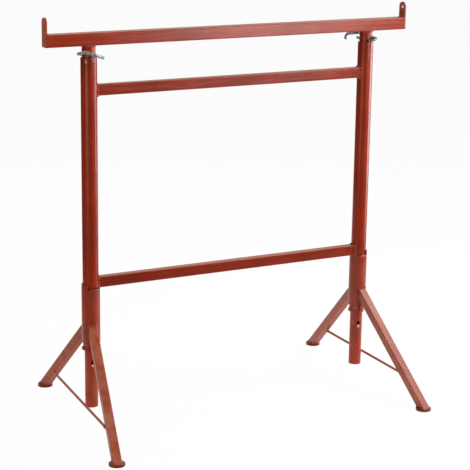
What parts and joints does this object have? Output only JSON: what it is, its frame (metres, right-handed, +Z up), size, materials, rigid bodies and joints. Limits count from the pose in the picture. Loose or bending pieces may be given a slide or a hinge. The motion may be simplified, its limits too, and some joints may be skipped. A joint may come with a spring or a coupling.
{
  "type": "folding builder's trestle",
  "caption": "Height-adjustable folding builder's trestle: telescopic beam on drilled head tubes, held by bent locking pins, with swivelling splayed feet.",
  "frame": {"origin": "on the floor under the middle of the beam, midway between the uprights", "axes": "+X along the beam towards the end at the right of the picture, -Y the front, +Z up"},
  "size_m": [1.212, 0.7607, 1.236],
  "materials": {
    "red_oxide_paint": "semi-gloss red oxide paint over weld beads, rubbed to bare metal at the rims",
    "zinc_plate": "zinc plated bent rod"
  },
  "bodies": {
    "frame": {"left_upright": "red_oxide_paint", "right_upright": "red_oxide_paint", "upper_rail": "red_oxide_paint", "lower_rail": "red_oxide_paint", "left_outer_stop_lug": "red_oxide_paint", "left_inner_stop_lug": "red_oxide_paint", "right_outer_stop_lug": "red_oxide_paint", "right_inner_stop_lug": "red_oxide_paint"},
    "head": {"head_beam": "red_oxide_paint", "left_end_tab": "red_oxide_paint", "right_end_tab": "red_oxide_paint", "left_head_tube": "red_oxide_paint", "right_head_tube": "red_oxide_paint"},
    "left_foot": {"left_sleeve": "red_oxide_paint", "left_front_leg": "red_oxide_paint", "left_rear_leg": "red_oxide_paint", "left_front_disc": "red_oxide_paint", "left_rear_disc": "red_oxide_paint", "left_brace_rod": "red_oxide_paint"},
    "right_foot": {"right_sleeve": "red_oxide_paint", "right_front_leg": "red_oxide_paint", "right_rear_leg": "red_oxide_paint", "right_front_disc": "red_oxide_paint", "right_rear_disc": "red_oxide_paint", "right_brace_rod": "red_oxide_paint"},
    "left_pin": {"left_pin": "zinc_plate"},
    "right_pin": {"right_pin": "zinc_plate"}
  },
  "joints": [
    {"name": "head_slide", "type": "slide", "parent": "frame", "child": "head", "axis": [0, 0, 1], "range_m": [0, 0.93]},
    {"name": "left_foot_swivel", "type": "hinge", "parent": "frame", "child": "left_foot", "pos_m": [-0.4695, 0, 0.345], "axis": [0, 0, 1], "range_deg": [0, 94]},
    {"name": "right_foot_swivel", "type": "hinge", "parent": "frame", "child": "right_foot", "pos_m": [0.4695, 0, 0.345], "axis": [0, 0, 1], "range_deg": [-89, 4]},
    {"name": "left_pin_pull", "type": "slide", "parent": "head", "child": "left_pin", "axis": [0.1564, 0.9877, 0], "range_m": [0, 0.0432]},
    {"name": "right_pin_pull", "type": "slide", "parent": "head", "child": "right_pin", "axis": [-0.1564, -0.9877, 0], "range_m": [0, 0.09]}
  ]
}
